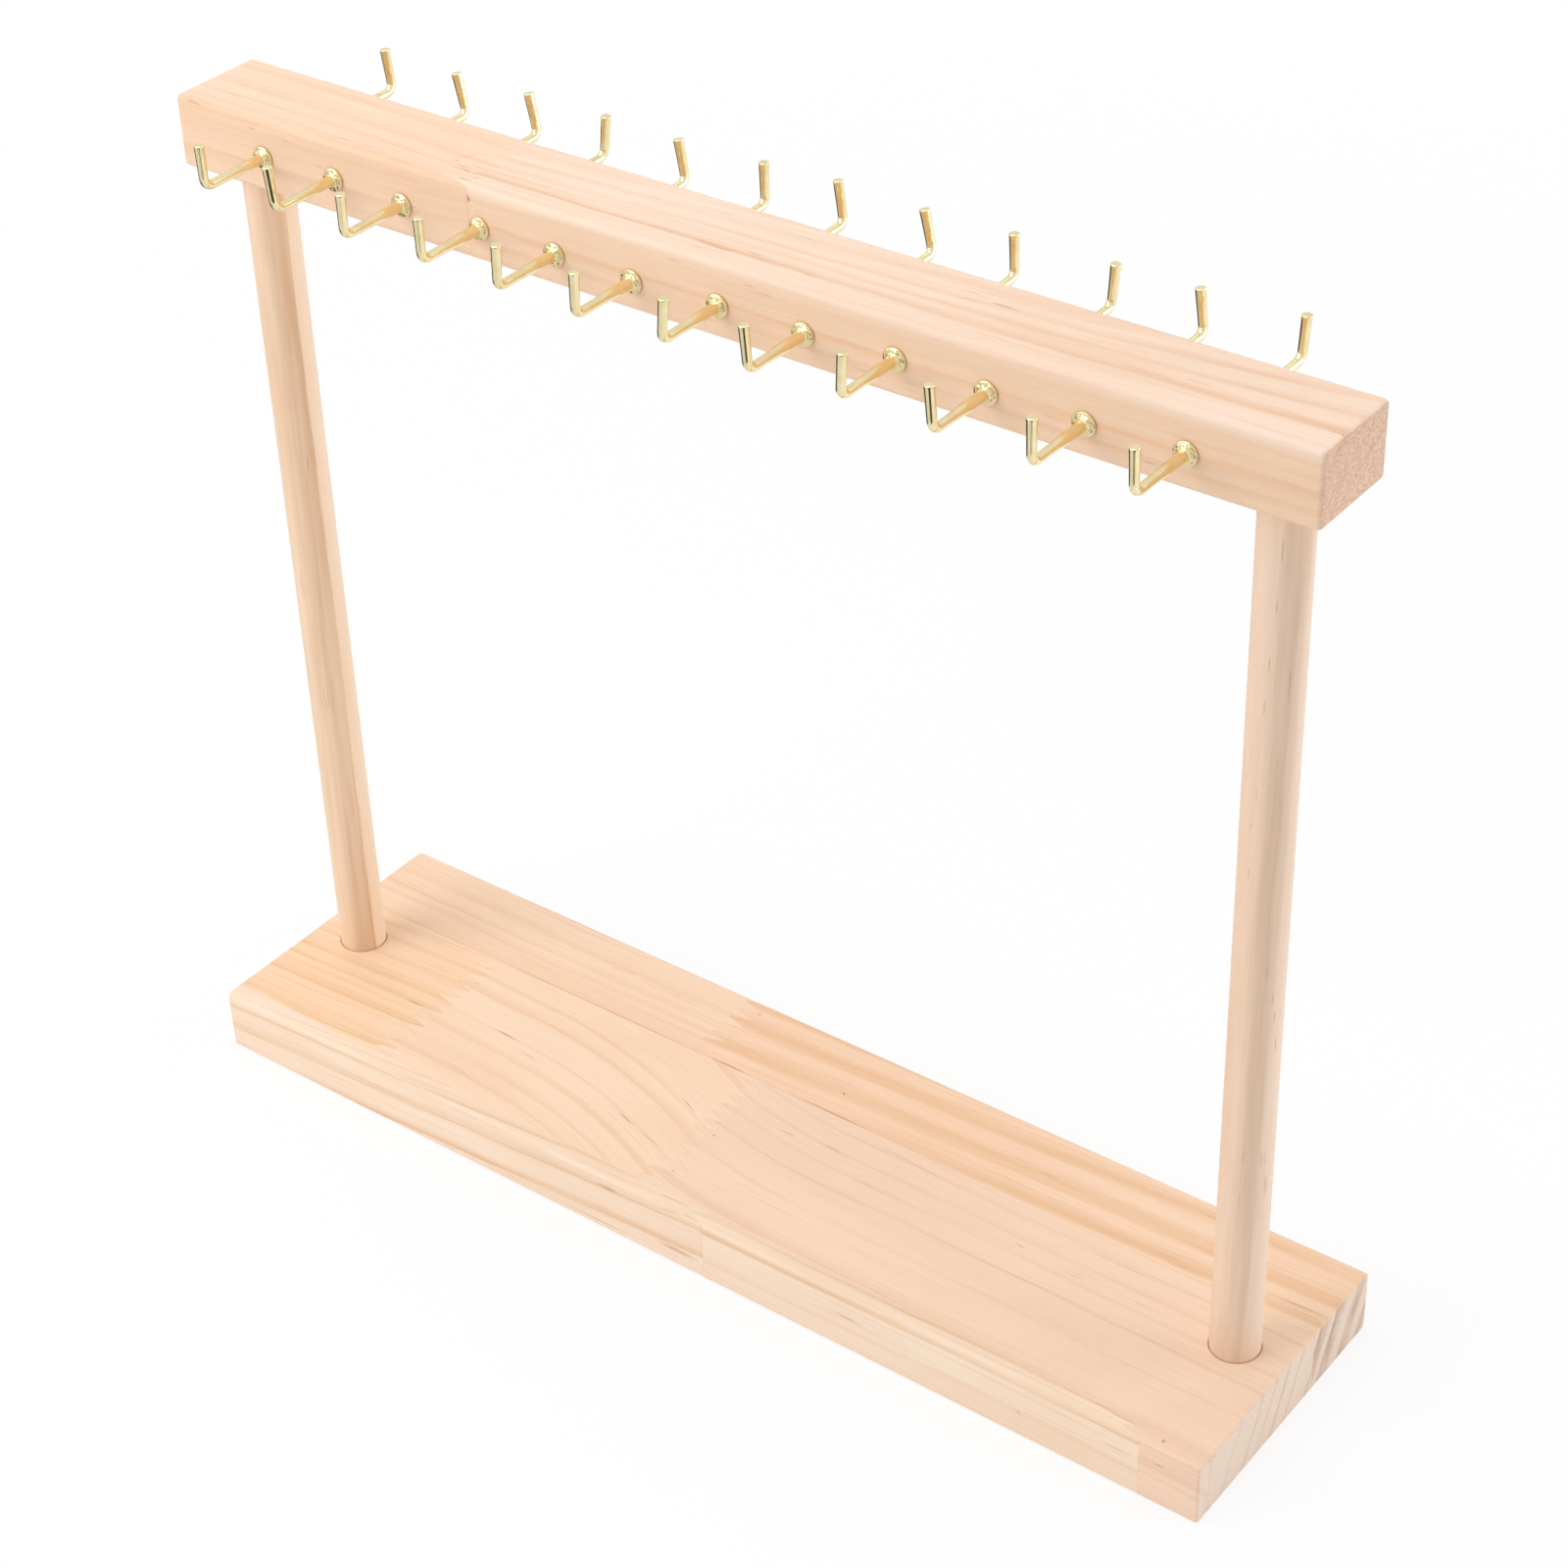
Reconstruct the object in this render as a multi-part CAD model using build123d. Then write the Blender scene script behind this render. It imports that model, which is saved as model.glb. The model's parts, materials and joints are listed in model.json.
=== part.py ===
from build123d import *
import os

# A necklace display rack: a glued-up pine base, two dowel posts and a crossbar with two rows of
# screw hooks. Millimetres. The origin is under the middle of the base, +X runs along the rack,
# +Y points to its rear and +Z up.

# Rack: the base and the crossbar are sawn to one length
RACK_LENGTH = 350.0
END_CHAMFER = 0.6

# Base panel: three strips glued edge to edge, each strip made of finger-jointed blocks
BASE_WIDTH = 90.5
BASE_THICKNESS = 20.5
BASE_EDGE_RADIUS = 1.2
FRONT_STRIP_WIDTH = 5.5
REAR_STRIP_WIDTH = 30.0
FRONT_LEFT_BLOCK = 186.3
FRONT_RIGHT_BLOCK = 18.3
MIDDLE_LEFT_BLOCK = 61.5
MIDDLE_CENTRE_BLOCK = 103.5
REAR_LEFT_BLOCK = 142.0

# Crossbar: two finger-jointed blocks
BAR_WIDTH = 29.7
BAR_HEIGHT = 20.5
BAR_EDGE_RADIUS = 1.4
BAR_LEFT_BLOCK = 103.2

# Finger joints: tapered fingers with blunt tips, side by side across a strip
FINGER_PITCH = 4.2
FINGER_TIP = 0.7
PANEL_FINGER_LENGTH = 6.5
BAR_FINGER_LENGTH = 10.0

# Posts: dowels glued into blind sockets in the base and in the underside of the bar
POST_DIAMETER = 14.2
POST_LENGTH = 289.0
POST_INSET = 16.0
POST_CHAMFER = 0.8
BASE_SOCKET_DEPTH = 12.0
BAR_SOCKET_DEPTH = 10.0
SOCKET_CLEARANCE = 0.15

# Hooks: square-bent wire with a domed collar, screwed into both long faces of the bar
FIRST_HOOK_INSET = 29.5
LAST_HOOK_INSET = 36.0
HOOK_HEIGHT = 9.0
HOOK_REACH = 22.0
HOOK_RISE = 11.9
WIRE_DIAMETER = 2.5
BEND_RADIUS = 2.6
TIP_DIAMETER = 2.8
TIP_CHAMFER = 0.25
NECK_DIAMETER = 3.0
NECK_LENGTH = 8.5
NECK_TAPER = 4.0
COLLAR_DIAMETER = 6.6
COLLAR_RIM = 0.6
COLLAR_DOME = 0.6
COLLAR_FULLNESS = 0.72  # share of the dome's height reached half way from rim to neck
COLLAR_GAP = 0.05
THREAD_DIAMETER = 2.6
THREAD_LENGTH = 9.5
THREAD_POINT = 3.0
PILOT_CLEARANCE = 0.05

# How far each hook was left turned, in degrees, with its tip towards +X for a positive angle
FRONT_LEANS = (-1, -6, 1, 0, 3, 2, 6, -4, 4, -4, 0, -1)
REAR_LEANS = (-7, -12, -11, 7, -9, 0, -7, -12, -1, 5, -7, 4)

# How far each hook strays along the bar from the even pitch, and how far it climbs above the
# common level, because the holes are drilled by hand
FRONT_STRAYS = (1.5, 1.0, -1.0, -0.5, -1.5, -2.5, -1.5, -1.5, -0.5, -0.5, 0.5, 1.5)
REAR_STRAYS = (1.0, 2.0, 1.5, -1.5, 0.0, 0.0, -1.0, 0.5, -1.0, 1.0, 1.0, 1.5)
FRONT_CLIMBS = (1.0, 1.2, 0.1, 0.4, -0.2, -0.8, 0.0, -0.3, 0.8, -0.3, -0.3, 0.5)
REAR_CLIMBS = (0.9, 0.2, 0.4, 0.1, -0.4, -0.1, 1.0, 0.1, 0.3, 0.1, 0.3, 1.2)

# Places that follow from the sizes above
LEFT_END = -RACK_LENGTH / 2
RIGHT_END = RACK_LENGTH / 2
POST_FOOT = BASE_THICKNESS - BASE_SOCKET_DEPTH
POST_TOP = POST_FOOT + POST_LENGTH
BAR_BOTTOM = POST_TOP - BAR_SOCKET_DEPTH
POST_PLACES = {"post_left": LEFT_END + POST_INSET, "post_right": RIGHT_END - POST_INSET}
HOOK_LEVEL = BAR_BOTTOM + HOOK_HEIGHT
SOCKET_RADIUS = POST_DIAMETER / 2 + SOCKET_CLEARANCE

# Cutting bodies run this far past the wood that they cut
OVERCUT = 5.0

# Cylinders and cones stand on their place, or hang from it
FROM_BELOW = (Align.CENTER, Align.CENTER, Align.MIN)
FROM_ABOVE = (Align.CENTER, Align.CENTER, Align.MAX)


def rounded_board(width, height, bottom, edge_radius):
    """A board along X with rounded long edges and eased ends, standing on the level `bottom`."""
    section = Plane.YZ * RectangleRounded(width, height, edge_radius)
    board = Pos(0, 0, bottom + height / 2) * extrude(section, RACK_LENGTH / 2, both=True)
    end_faces = board.faces().filter_by(Axis.X)
    return chamfer([edge for face in end_faces for edge in face.edges()], END_CHAMFER)


def finger_line(seam_x, y_low, y_high, length):
    """The zigzag of a finger joint: its ends lie on the seam, its tips `length` to the left."""
    count = max(1, round((y_high - y_low) / FINGER_PITCH))
    step = (y_high - y_low) / count
    half_tip = FINGER_TIP / 2
    tip_x = seam_x - length
    points = [(seam_x, y_low - OVERCUT)]
    for number in range(count):
        start = y_low + number * step
        points.append((seam_x, start + half_tip))
        points.append((tip_x, start + step / 2 - half_tip))
        points.append((tip_x, start + step / 2 + half_tip))
        points.append((seam_x, start + step - half_tip))
    points.append((seam_x, y_high + OVERCUT))
    return points


def split_at_joint(strip, seam_x, y_low, y_high, length):
    """Parts a strip at a finger joint, into the block on the left and the rest on the right."""
    far_left = LEFT_END - OVERCUT
    zigzag = finger_line(seam_x, y_low, y_high, length)
    outline = [(far_left, zigzag[0][1])] + zigzag + [(far_left, zigzag[-1][1])]
    box = strip.bounding_box()
    face = Pos(0, 0, box.min.Z - OVERCUT) * make_face(Polyline(*outline, close=True))
    left_side = extrude(face, box.size.Z + 2 * OVERCUT)
    return strip & left_side, strip - left_side


def slice_strip(board, y_low, y_high):
    """The part of a board between two glue lines."""
    box = board.bounding_box()
    slab = Box(box.size.X + OVERCUT, y_high - y_low, box.size.Z + OVERCUT)
    return board & Pos(box.center().X, (y_low + y_high) / 2, box.center().Z) * slab


def hook_places():
    """Name, place on the bar's face, turn about Z and lean of every hook."""
    places = []
    rows = (
        ("front", FRONT_LEANS, FRONT_STRAYS, FRONT_CLIMBS, -1),
        ("rear", REAR_LEANS, REAR_STRAYS, REAR_CLIMBS, 1),
    )
    for row, leans, strays, climbs, side in rows:
        pitch = (RACK_LENGTH - FIRST_HOOK_INSET - LAST_HOOK_INSET) / (len(leans) - 1)
        for number, (lean, stray, climb) in enumerate(zip(leans, strays, climbs)):
            x = LEFT_END + FIRST_HOOK_INSET + number * pitch + stray
            place = (x, side * BAR_WIDTH / 2, HOOK_LEVEL + climb)
            turn = 0 if side < 0 else 180
            places.append((f"hook_{row}_{number + 1:02d}", place, turn, lean))
    return places


def make_base():
    """The base's blocks, with a blind socket for each post."""
    board = rounded_board(BASE_WIDTH, BASE_THICKNESS, 0, BASE_EDGE_RADIUS)
    for x in POST_PLACES.values():
        socket = Cylinder(SOCKET_RADIUS, BASE_SOCKET_DEPTH + OVERCUT, align=FROM_BELOW)
        board -= Pos(x, 0, POST_FOOT) * socket
    front, rear = -BASE_WIDTH / 2, BASE_WIDTH / 2
    front_glue, rear_glue = front + FRONT_STRIP_WIDTH, rear - REAR_STRIP_WIDTH
    blocks = {}

    strip = slice_strip(board, front - OVERCUT, front_glue)
    blocks["base_front_left"], strip = split_at_joint(
        strip, LEFT_END + FRONT_LEFT_BLOCK, front, front_glue, PANEL_FINGER_LENGTH)
    blocks["base_front_centre"], blocks["base_front_right"] = split_at_joint(
        strip, RIGHT_END - FRONT_RIGHT_BLOCK, front, front_glue, PANEL_FINGER_LENGTH)

    strip = slice_strip(board, front_glue, rear_glue)
    seam = LEFT_END + MIDDLE_LEFT_BLOCK
    blocks["base_middle_left"], strip = split_at_joint(
        strip, seam, front_glue, rear_glue, PANEL_FINGER_LENGTH)
    seam += MIDDLE_CENTRE_BLOCK
    blocks["base_middle_centre"], blocks["base_middle_right"] = split_at_joint(
        strip, seam, front_glue, rear_glue, PANEL_FINGER_LENGTH)

    strip = slice_strip(board, rear_glue, rear + OVERCUT)
    blocks["base_rear_left"], blocks["base_rear_right"] = split_at_joint(
        strip, LEFT_END + REAR_LEFT_BLOCK, rear_glue, rear, PANEL_FINGER_LENGTH)
    return blocks


def make_posts():
    """Two dowels with eased ends, from socket floor to socket ceiling."""
    dowel = Cylinder(POST_DIAMETER / 2, POST_LENGTH, align=FROM_BELOW)
    dowel = chamfer(dowel.edges().filter_by(GeomType.CIRCLE), POST_CHAMFER)
    return {name: Pos(x, 0, POST_FOOT) * dowel for name, x in POST_PLACES.items()}


def make_pilot_hole():
    """The cutting body of one pilot hole, going in along +Y from the bar's face at the origin."""
    radius = THREAD_DIAMETER / 2 + PILOT_CLEARANCE
    depth = THREAD_LENGTH + PILOT_CLEARANCE
    drill = Cylinder(radius, depth + OVERCUT, align=FROM_BELOW)
    return Pos(0, depth, 0) * Rot(90, 0, 0) * drill


def make_bar():
    """The crossbar's two blocks, with the posts' sockets and the hooks' pilot holes."""
    bar = rounded_board(BAR_WIDTH, BAR_HEIGHT, BAR_BOTTOM, BAR_EDGE_RADIUS)
    for x in POST_PLACES.values():
        socket = Cylinder(SOCKET_RADIUS, BAR_SOCKET_DEPTH + OVERCUT, align=FROM_ABOVE)
        bar -= Pos(x, 0, POST_TOP) * socket
    hole = make_pilot_hole()
    bar -= [Pos(*place) * Rot(0, 0, turn) * hole for _, place, turn, _ in hook_places()]
    left, right = split_at_joint(
        bar, LEFT_END + BAR_LEFT_BLOCK, -BAR_WIDTH / 2, BAR_WIDTH / 2, BAR_FINGER_LENGTH)
    return {"bar_left": left, "bar_right": right}


def make_shank():
    """The straight, round part of a hook along Y: screw shank, collar, thick neck and wire."""
    wire_radius = WIRE_DIAMETER / 2
    neck_radius = NECK_DIAMETER / 2
    thread_radius = THREAD_DIAMETER / 2
    collar_radius = COLLAR_DIAMETER / 2
    rim_y = -COLLAR_GAP - COLLAR_RIM
    dome_y = rim_y - COLLAR_DOME
    neck_end = dome_y - NECK_LENGTH
    bend_start = BEND_RADIUS - HOOK_REACH
    dome_middle = ((collar_radius + neck_radius) / 2, rim_y - COLLAR_DOME * COLLAR_FULLNESS)
    outline = [
        Polyline(
            (neck_radius, dome_y),
            (neck_radius, neck_end),
            (wire_radius, neck_end - NECK_TAPER),
            (wire_radius, bend_start),
            (0, bend_start),
            (0, THREAD_LENGTH),
            (thread_radius, THREAD_LENGTH - THREAD_POINT),
            (thread_radius, -COLLAR_GAP),
            (collar_radius, -COLLAR_GAP),
            (collar_radius, rim_y),
        ),
        ThreePointArc((collar_radius, rim_y), dome_middle, (neck_radius, dome_y)),
    ]
    return revolve(make_face(outline), Axis.Y)


def make_hook():
    """One hook: its collar on the face at the origin, its shank along -Y and its arm up."""
    wire_radius = WIRE_DIAMETER / 2
    section = Plane((0, BEND_RADIUS - HOOK_REACH, 0), z_dir=(0, -1, 0)) * Circle(wire_radius)
    bend_axis = Axis((0, BEND_RADIUS - HOOK_REACH, BEND_RADIUS), (-1, 0, 0))
    bend = revolve(section, bend_axis, revolution_arc=90)
    arm = Cone(wire_radius, TIP_DIAMETER / 2, HOOK_RISE - BEND_RADIUS, align=FROM_BELOW)
    hook = make_shank() + bend + Pos(0, -HOOK_REACH, BEND_RADIUS) * arm
    tip = hook.faces().sort_by(Axis.Z)[-1]
    return chamfer(tip.edges(), TIP_CHAMFER)


def make_hooks():
    """Every hook, set on the bar's face and turned to its own lean."""
    hook = make_hook()
    return {
        name: Pos(*place) * Rot(0, lean, 0) * Rot(0, 0, turn) * hook
        for name, place, turn, lean in hook_places()
    }


os.makedirs("parts", exist_ok=True)
pieces = {**make_base(), **make_posts(), **make_bar(), **make_hooks()}
for name, piece in pieces.items():
    export_step(piece, f"parts/{name}.step")
print(f"{len(pieces)} pieces, bar from {BAR_BOTTOM:.1f} to {BAR_BOTTOM + BAR_HEIGHT:.1f} mm")
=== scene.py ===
# %% [markdown]
# # A necklace display rack in pine and brass
# The rack is a glued-up pine base, two dowel posts and a crossbar with a row of brass screw hooks on
# each long face. Its true sizes come from a CAD model, which is loaded first and stays where it is.
# This lesson models every piece again by hand, with the small things that a wood shop leaves behind:
# rounded arrises, finger joints, dented collars, grain that runs through the whole block.

# %% The CAD frame
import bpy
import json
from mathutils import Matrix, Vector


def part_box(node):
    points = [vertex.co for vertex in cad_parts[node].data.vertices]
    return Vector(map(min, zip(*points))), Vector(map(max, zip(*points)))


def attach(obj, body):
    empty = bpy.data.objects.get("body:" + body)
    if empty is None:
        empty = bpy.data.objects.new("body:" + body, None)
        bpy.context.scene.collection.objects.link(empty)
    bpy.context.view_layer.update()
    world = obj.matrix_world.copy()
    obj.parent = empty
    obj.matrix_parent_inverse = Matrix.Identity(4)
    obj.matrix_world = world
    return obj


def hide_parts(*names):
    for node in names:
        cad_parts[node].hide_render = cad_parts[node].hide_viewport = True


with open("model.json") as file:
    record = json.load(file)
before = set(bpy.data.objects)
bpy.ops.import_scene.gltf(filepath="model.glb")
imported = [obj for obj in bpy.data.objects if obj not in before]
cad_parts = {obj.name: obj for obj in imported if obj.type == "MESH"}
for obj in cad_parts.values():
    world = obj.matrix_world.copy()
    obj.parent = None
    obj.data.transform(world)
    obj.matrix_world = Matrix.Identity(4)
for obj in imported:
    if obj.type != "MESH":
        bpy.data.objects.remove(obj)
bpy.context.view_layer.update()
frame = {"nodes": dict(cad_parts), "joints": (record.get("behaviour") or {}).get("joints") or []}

# %% [markdown]
# ## Working by hand, in code
# Blender's operators act on whatever is selected, in the mode that is open. So two habits keep a script
# safe: deselect everything before adding a piece, and pick faces, edges or points by their place and
# not by their number. The helpers below do just that. Sizes are written in millimetres.

# %% Helpers for modelling
import json
import math

import bmesh
import bpy
from mathutils import Matrix, Vector

MM = 0.001
TINY = 1e-5


def clear_selection():
    """Leaves edit mode and deselects every object."""
    if bpy.context.mode != "OBJECT":
        bpy.ops.object.mode_set(mode="OBJECT")
    bpy.ops.object.select_all(action="DESELECT")


def select_only(piece):
    """Selects one piece, and nothing else, and makes it the active one."""
    clear_selection()
    piece.select_set(True)
    bpy.context.view_layer.objects.active = piece


def open_for_edit(piece):
    """Opens one piece, and nothing else, in edit mode."""
    select_only(piece)
    bpy.ops.object.mode_set(mode="EDIT")


def pick(piece, kind, test):
    """In edit mode, selects just the points, edges or faces that pass a test."""
    bpy.ops.mesh.select_mode(type=kind)
    bpy.ops.mesh.select_all(action="DESELECT")
    mesh = bmesh.from_edit_mesh(piece.data)
    for part in {"VERT": mesh.verts, "EDGE": mesh.edges, "FACE": mesh.faces}[kind]:
        if test(part):
            part.select_set(True)
    mesh.select_flush_mode()
    bmesh.update_edit_mesh(piece.data)


def set_in_place(piece, name):
    """Names a piece and moves its location, turn and scale into its mesh."""
    piece.name = name
    piece.data.name = name
    select_only(piece)
    bpy.ops.object.transform_apply(location=True, rotation=True, scale=True)


def copy_of(piece, name):
    """A copy of a piece with a mesh of its own."""
    select_only(piece)
    bpy.ops.object.duplicate(linked=False)
    twin = bpy.context.active_object
    twin.name = name
    twin.data.name = name
    return twin


def apply_modifier(piece, kind, **settings):
    """Adds a modifier with its settings and applies it."""
    modifier = piece.modifiers.new(kind.title(), kind)
    for key, value in settings.items():
        setattr(modifier, key, value)
    select_only(piece)
    bpy.ops.object.modifier_apply(modifier=modifier.name)


def smooth(piece, degrees):
    """Smooth shading, apart from edges that are sharper than the given angle."""
    select_only(piece)
    bpy.ops.object.shade_smooth_by_angle(angle=math.radians(degrees))


print("modelling helpers are ready, and a millimetre is", MM, "of Blender's units")

# %% [markdown]
# ## The camera
# The photograph looks down on the rack from its right front corner. Place, turn and lens were worked out
# from the corners of the base and the bar, so the render and the photograph can be laid side by side.
# The turn is built from three plain angles: round the room, down to the table, and a slight roll. A camera
# that isn't turned looks straight down, so a quarter turn is added to bring it level first.

# %% Camera
CAMERA_EYE = Vector((0.47732, -0.59930, 0.67814))
CAMERA_YAW = 37.846
CAMERA_PITCH = -34.977
CAMERA_ROLL = -2.072
CAMERA_LENS = 78.589
SENSOR_WIDTH = 36.0
QUARTER_TURN = 90

clear_selection()
bpy.ops.object.camera_add()
camera = bpy.context.active_object
camera.name = "camera"
camera.data.sensor_width = SENSOR_WIDTH
camera.data.lens = CAMERA_LENS
camera_turn = (
    Matrix.Rotation(math.radians(CAMERA_YAW), 4, "Z")
    @ Matrix.Rotation(math.radians(QUARTER_TURN + CAMERA_PITCH), 4, "X")
    @ Matrix.Rotation(math.radians(CAMERA_ROLL), 4, "Z")
)
camera.matrix_world = Matrix.Translation(CAMERA_EYE) @ camera_turn
bpy.context.scene.camera = camera
bpy.context.scene.view_settings.view_transform = "Standard"
print("camera at", [round(value, 3) for value in CAMERA_EYE])

# %% [markdown]
# ## Helpers for materials
# A material is a small network: coordinates go in, and colour, roughness and bump come out. These
# helpers add one node and set or link its inputs in a line, so that the recipes further down stay short.
# Colours are written as they look on a screen, from 0 to 255, and turned into linear light by the curve
# that screens share. Noise is moved to another spot for each seed, so no two blocks look alike.

# %% Helpers for materials
SCREEN_WHITE = 255
SEED_SHIFT = (7.3, 3.1, 5.7)


def feed(tree, node, inputs):
    """Sets inputs of a node to values, or links them to sockets."""
    for key, value in inputs.items():
        if isinstance(value, bpy.types.NodeSocket):
            tree.links.new(value, node.inputs[key])
        else:
            node.inputs[key].default_value = value


def add_node(tree, kind, inputs=None, **settings):
    """Adds a node, sets its properties and feeds its inputs."""
    node = tree.nodes.new(kind)
    for key, value in settings.items():
        setattr(node, key, value)
    feed(tree, node, inputs or {})
    return node


def calc(tree, operation, *values):
    """One step of arithmetic."""
    return add_node(tree, "ShaderNodeMath", dict(enumerate(values)), operation=operation).outputs[0]


def remap(tree, value, low, high, to_low=0.0, to_high=1.0):
    """Stretches a range of values to another one, and stops at its ends."""
    inputs = {"Value": value, 1: low, 2: high, 3: to_low, 4: to_high}
    return add_node(tree, "ShaderNodeMapRange", inputs, clamp=True).outputs[0]


def mix_colour(tree, share, first, second, blend="MIX"):
    """Mixes two colours by a share from 0 to 1. The node keeps its colours in sockets 6, 7 and 2."""
    inputs = {0: share, 6: first, 7: second}
    return add_node(tree, "ShaderNodeMix", inputs, data_type="RGBA", blend_type=blend).outputs[2]


def screen_colour(red, green, blue):
    """A colour as seen on a screen, as linear light."""
    shares = [level / SCREEN_WHITE for level in (red, green, blue)]
    return (*[s / 12.92 if s <= 0.04045 else ((s + 0.055) / 1.055) ** 2.4 for s in shares], 1.0)


def grain_noise(tree, coordinates, blotch, seed, detail=2.0):
    """Noise whose blotches measure so many millimetres along, across and through the grain."""
    inputs = {0: coordinates, 1: [1 / size for size in blotch], 2: [shift * seed for shift in SEED_SHIFT]}
    shrunk = add_node(tree, "ShaderNodeVectorMath", inputs, operation="MULTIPLY_ADD").outputs[0]
    return add_node(tree, "ShaderNodeTexNoise", {"Vector": shrunk, "Scale": 1.0, "Detail": detail}).outputs[0]


def new_material(name):
    """An empty material with just its shader, and the tree that holds it."""
    material = bpy.data.materials.new(name)
    material.use_nodes = True
    return material, material.node_tree, material.node_tree.nodes["Principled BSDF"]


print("half of a screen's white is", round(screen_colour(128, 128, 128)[0], 2), "in linear light")

# %% [markdown]
# ## The floor
# The rack stands on a white table under soft, even light, as in a product photograph. The floor is a pale
# diffuse surface. To the camera most of it is plain white, and the rest is the lit surface, so a faint
# shadow stays under the base. Further out it fades to white altogether, and no horizon shows. In the brass
# it is white on the side of the rim lamp and a little darker on the other. Levels are shares of white, and
# distances are in metres.

# %% Floor
FLOOR_SIZE = 8.0
FLOOR_COLOUR = screen_colour(250, 250, 250)
FLOOR_ROUGHNESS = 0.8
FLOOR_WHITENESS = 0.85
FLOOR_FADE = (0.35, 0.9)
MIRRORED_FLOOR = (0.8, 1.0)
BRIGHT_SIDE = (0.8, 0.6, 0.0)
BRIGHT_REACH = 0.4
WHITE = (1, 1, 1, 1)


def level_by_ray(tree, seen, mirrored):
    """One value for what the camera sees, another for reflections, and 0 for light that falls on things."""
    path = add_node(tree, "ShaderNodeLightPath").outputs
    level = calc(tree, "MULTIPLY", path["Is Camera Ray"], seen)
    return calc(tree, "MAXIMUM", level, calc(tree, "MULTIPLY", path["Is Glossy Ray"], mirrored))


clear_selection()
bpy.ops.mesh.primitive_plane_add(size=FLOOR_SIZE)
floor = bpy.context.active_object
set_in_place(floor, "floor")
floor_material, tree, shader = new_material("white_table")
feed(tree, shader, {"Base Color": FLOOR_COLOUR, "Roughness": FLOOR_ROUGHNESS, "Specular IOR Level": 0.0})
place = add_node(tree, "ShaderNodeTexCoord").outputs["Object"]
sideways = add_node(tree, "ShaderNodeVectorMath", {0: place, 1: BRIGHT_SIDE}, operation="DOT_PRODUCT")
mirrored = remap(tree, sideways.outputs["Value"], -BRIGHT_REACH, BRIGHT_REACH, *MIRRORED_FLOOR)
glow_level = level_by_ray(tree, 1.0, mirrored)
glow = add_node(tree, "ShaderNodeEmission", {"Color": WHITE, "Strength": glow_level})
distance = add_node(tree, "ShaderNodeVectorMath", {0: place}, operation="LENGTH").outputs["Value"]
share = level_by_ray(tree, remap(tree, distance, *FLOOR_FADE, FLOOR_WHITENESS, 1.0), 1.0)
both = add_node(tree, "ShaderNodeMixShader", {0: share, 1: shader.outputs[0], 2: glow.outputs[0]})
feed(tree, tree.nodes["Material Output"], {"Surface": both.outputs[0]})
floor.data.materials.append(floor_material)
print("floor", FLOOR_SIZE, "m wide, plain white from", FLOOR_FADE[1], "m out")

# %% [markdown]
# ## The world
# The world gives light from all sides, as the walls of a white studio do. The camera sees it plain white,
# and the brass sees it a little darker. A Mix Shader picks between the two by the kind of ray.

# %% World
WORLD_COLOUR = screen_colour(252, 252, 255)
WORLD_LEVEL = 0.55
MIRRORED_WORLD = 0.85

world = bpy.data.worlds.new("studio")
bpy.context.scene.world = world
world.use_nodes = True
tree = world.node_tree
soft_light = tree.nodes["Background"]
feed(tree, soft_light, {"Color": WORLD_COLOUR, "Strength": WORLD_LEVEL})
white_level = level_by_ray(tree, 1.0, MIRRORED_WORLD)
white = add_node(tree, "ShaderNodeBackground", {"Color": WHITE, "Strength": white_level})
seen = level_by_ray(tree, 1.0, 1.0)
both = add_node(tree, "ShaderNodeMixShader", {0: seen, 1: soft_light.outputs[0], 2: white.outputs[0]})
feed(tree, tree.nodes["World Output"], {"Surface": both.outputs[0]})
print("world light", WORLD_LEVEL, "and level in reflections", MIRRORED_WORLD)

# %% [markdown]
# ## The lamps
# Three large lamps add a gentle direction: one from the left front, one low at the right rear, and one
# overhead. Area lamps are used, because their shadows are as soft as those of a photographer's softbox.

# %% Lamps
LAMPS = {
    "key_softbox": {"place": (-0.9, -1.2, 1.0), "aim": (0, 0, 0.15), "size": 1.2, "power": 12.0},
    "rim_softbox": {"place": (1.5, 1.1, 0.4), "aim": (0, 0, 0.15), "size": 1.4, "power": 14.0},
    "overhead_softbox": {"place": (-0.5, 0, 2.4), "aim": (0, 0, 0.1), "size": 1.6, "power": 18.5},
}

for lamp_name, lamp_facts in LAMPS.items():
    clear_selection()
    bpy.ops.object.light_add(type="AREA", location=lamp_facts["place"])
    lamp = bpy.context.active_object
    lamp.name = lamp_name
    lamp.data.size = lamp_facts["size"]
    lamp.data.energy = lamp_facts["power"]
    aim = Vector(lamp_facts["aim"]) - lamp.location
    lamp.rotation_euler = aim.to_track_quat("-Z", "Y").to_euler()
print("lamps:", ", ".join(LAMPS))

# %% [markdown]
# ## Dark cards
# Polished metal in a white room looks flat, so photographers put black flags round it. Here a few dark cards
# lie on the floor, each given by two of its corners in metres. Only reflections can see them, and they draw
# the dark stripes on the brass. A darker world would do that too, but it would grey the wood.

# %% Dark cards
CARDS = {
    "front_card": {"low": (0.19, -0.7), "high": (0.9, -0.5)},
    "far_card": {"low": (-0.1, -1.0), "high": (0.9, -0.7)},
    "near_card": {"low": (0.4, -0.5), "high": (0.9, -0.42)},
    "left_card": {"low": (-0.95, -0.3), "high": (-0.3, 0.35)},
}
CARD_LIFT = 0.002
CARD_COLOUR = screen_colour(44, 38, 26)
CARD_ROUGHNESS = 0.9

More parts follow.
